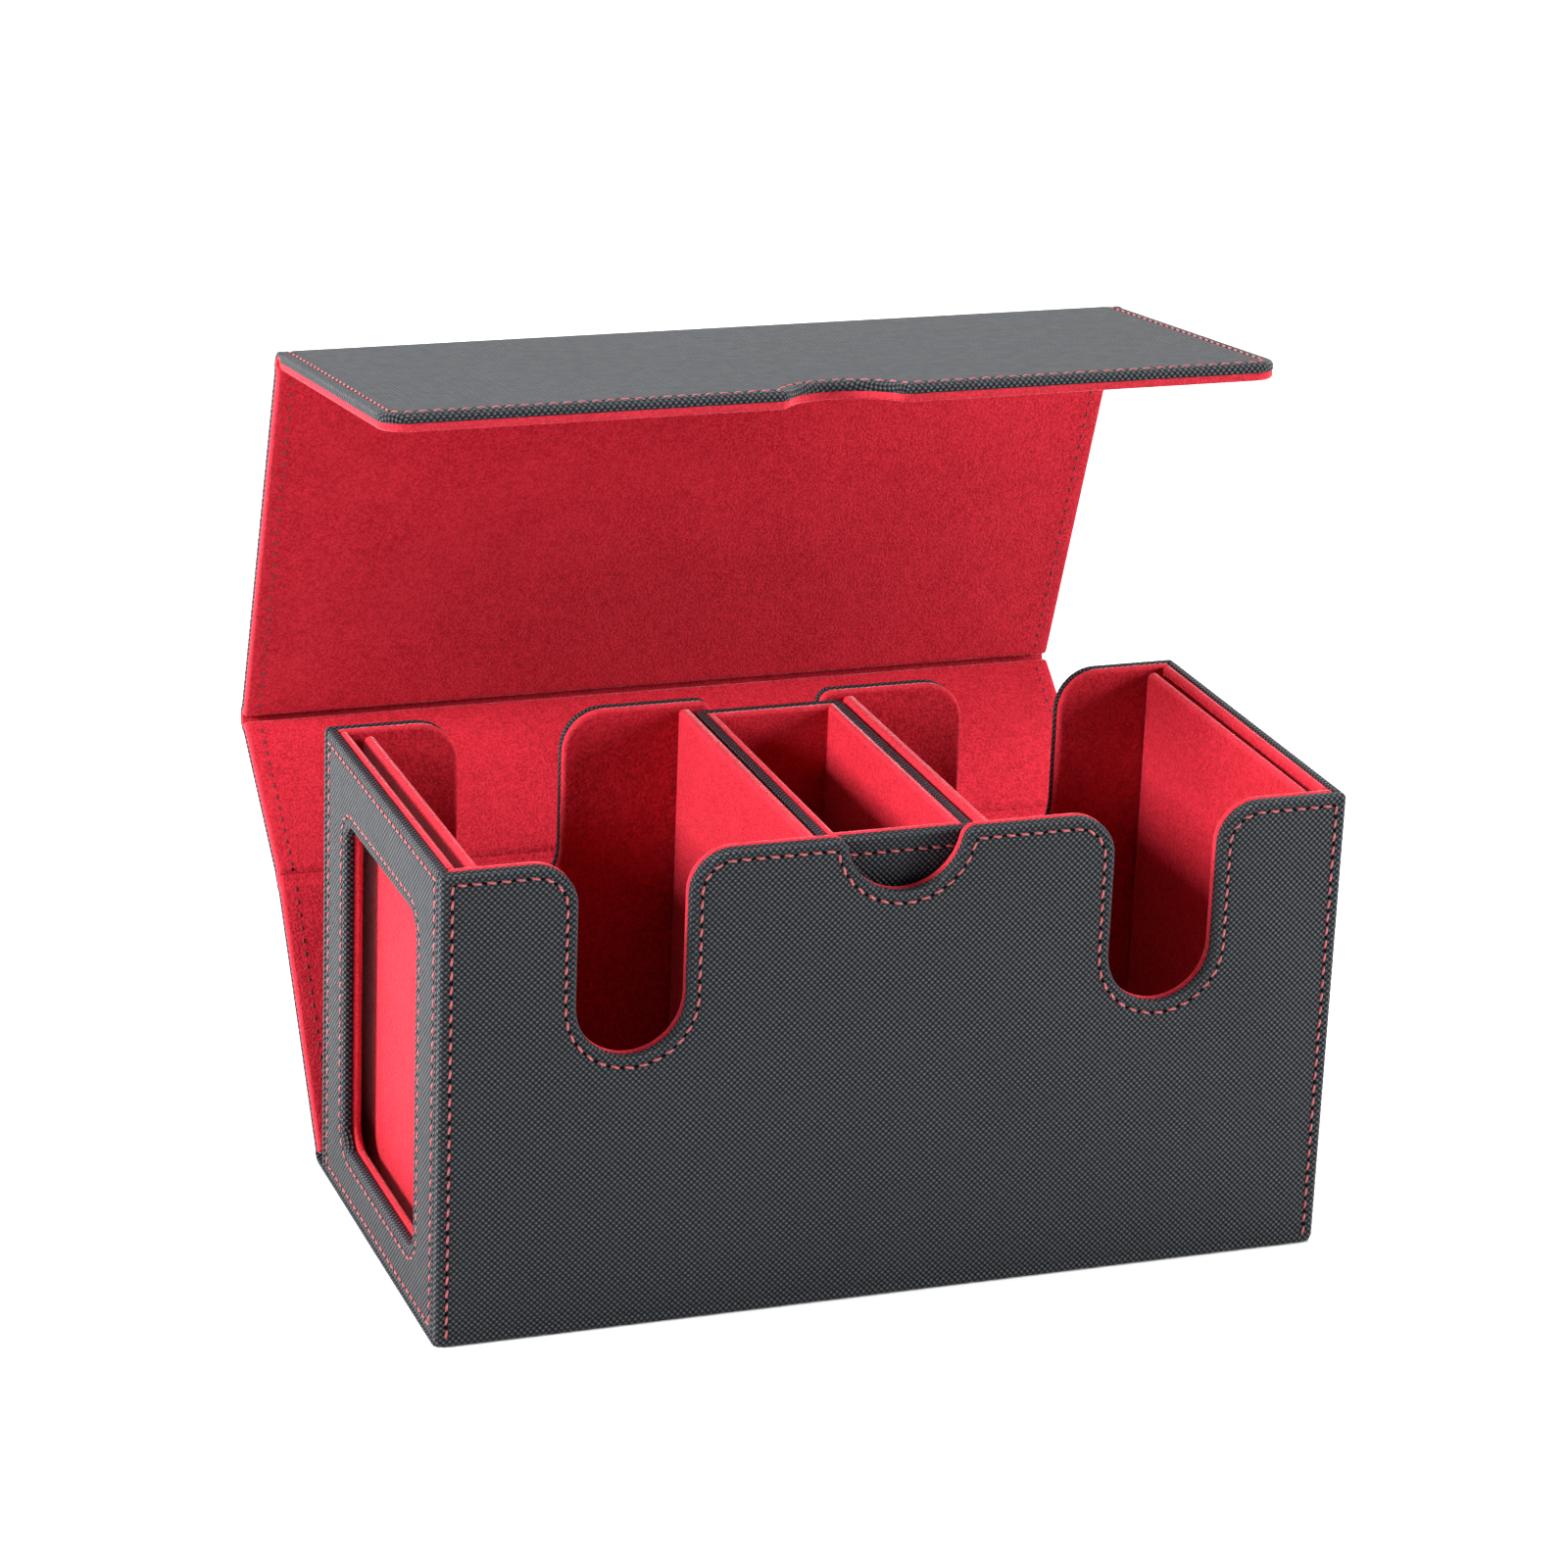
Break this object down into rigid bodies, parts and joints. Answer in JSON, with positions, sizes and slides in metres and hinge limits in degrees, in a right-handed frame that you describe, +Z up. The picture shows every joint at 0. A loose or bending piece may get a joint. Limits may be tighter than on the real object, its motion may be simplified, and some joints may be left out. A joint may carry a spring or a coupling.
{
  "type": "card deck box",
  "caption": "Leather-covered box for card decks, with side-by-side bays, end windows, a lift-out accessory box, loose end panels and a folding wrap-around lid.",
  "frame": {"origin": "centre of the underside of the tray, where it rests on the table", "axes": "+X to the right along the length, +Y from the front to the back, where the lid is hinged, +Z up"},
  "size_m": [0.202, 0.1716, 0.1892],
  "materials": {
    "outer_leather": "embossed dark leather",
    "red_suede": "short-nap suede",
    "inner_board": "plain grey board",
    "magnet_steel": "plated"
  },
  "bodies": {
    "tray": {"base_leather": "outer_leather", "base_board": "inner_board", "base_lining": "red_suede", "front_leather": "outer_leather", "front_board": "inner_board", "front_lining": "red_suede", "rear_leather": "outer_leather", "rear_board": "inner_board", "rear_lining": "red_suede", "left_leather": "outer_leather", "left_board": "inner_board", "left_lining": "red_suede", "right_leather": "outer_leather", "right_board": "inner_board", "right_lining": "red_suede", "divider_left_board": "inner_board", "divider_left_suede": "red_suede", "divider_right_board": "inner_board", "divider_right_suede": "red_suede", "front_magnet_left": "magnet_steel", "front_magnet_right": "magnet_steel"},
    "lid_lower": {"cover_lower_leather": "outer_leather", "cover_lower_board": "inner_board", "cover_lower_lining": "red_suede"},
    "lid_upper": {"cover_upper_leather": "outer_leather", "cover_upper_board": "inner_board", "cover_upper_lining": "red_suede"},
    "lid_top": {"cover_top_leather": "outer_leather", "cover_top_board": "inner_board", "cover_top_lining": "red_suede"},
    "lid_flap": {"cover_flap_leather": "outer_leather", "cover_flap_board": "inner_board", "cover_flap_lining": "red_suede", "flap_magnet_left": "magnet_steel", "flap_magnet_right": "magnet_steel"},
    "accessory_box": {"box_leather": "outer_leather", "box_board": "inner_board", "box_lining": "red_suede"},
    "left_panel": {"left_panel_board": "inner_board", "left_panel_suede": "red_suede"},
    "right_panel": {"right_panel_board": "inner_board", "right_panel_suede": "red_suede"}
  },
  "joints": [
    {"name": "back_hinge", "type": "hinge", "parent": "tray", "child": "lid_lower", "pos_m": [0, 0.0514, 0.0004], "axis": [-1, 0, 0], "range_deg": [-35, 28]},
    {"name": "back_crease", "type": "hinge", "parent": "lid_lower", "child": "lid_upper", "pos_m": [0, 0.08857, 0.05348], "axis": [-1, 0, 0], "range_deg": [-17, 5]},
    {"name": "top_fold", "type": "hinge", "parent": "lid_upper", "child": "lid_top", "pos_m": [0, 0.12419, 0.08131], "axis": [-1, 0, 0], "range_deg": [-19, 71]},
    {"name": "flap_fold", "type": "hinge", "parent": "lid_top", "child": "lid_flap", "pos_m": [0, 0.09072, 0.17851], "axis": [-1, 0, 0], "range_deg": [-25.5, 64.5]},
    {"name": "box_lift", "type": "slide", "parent": "tray", "child": "accessory_box", "axis": [0, 0, 1], "range_m": [0, 0.07]},
    {"name": "left_panel_lift", "type": "slide", "parent": "tray", "child": "left_panel", "axis": [0, 0, 1], "range_m": [0, 0.07]},
    {"name": "right_panel_lift", "type": "slide", "parent": "tray", "child": "right_panel", "axis": [0, 0, 1], "range_m": [0, 0.07]}
  ]
}
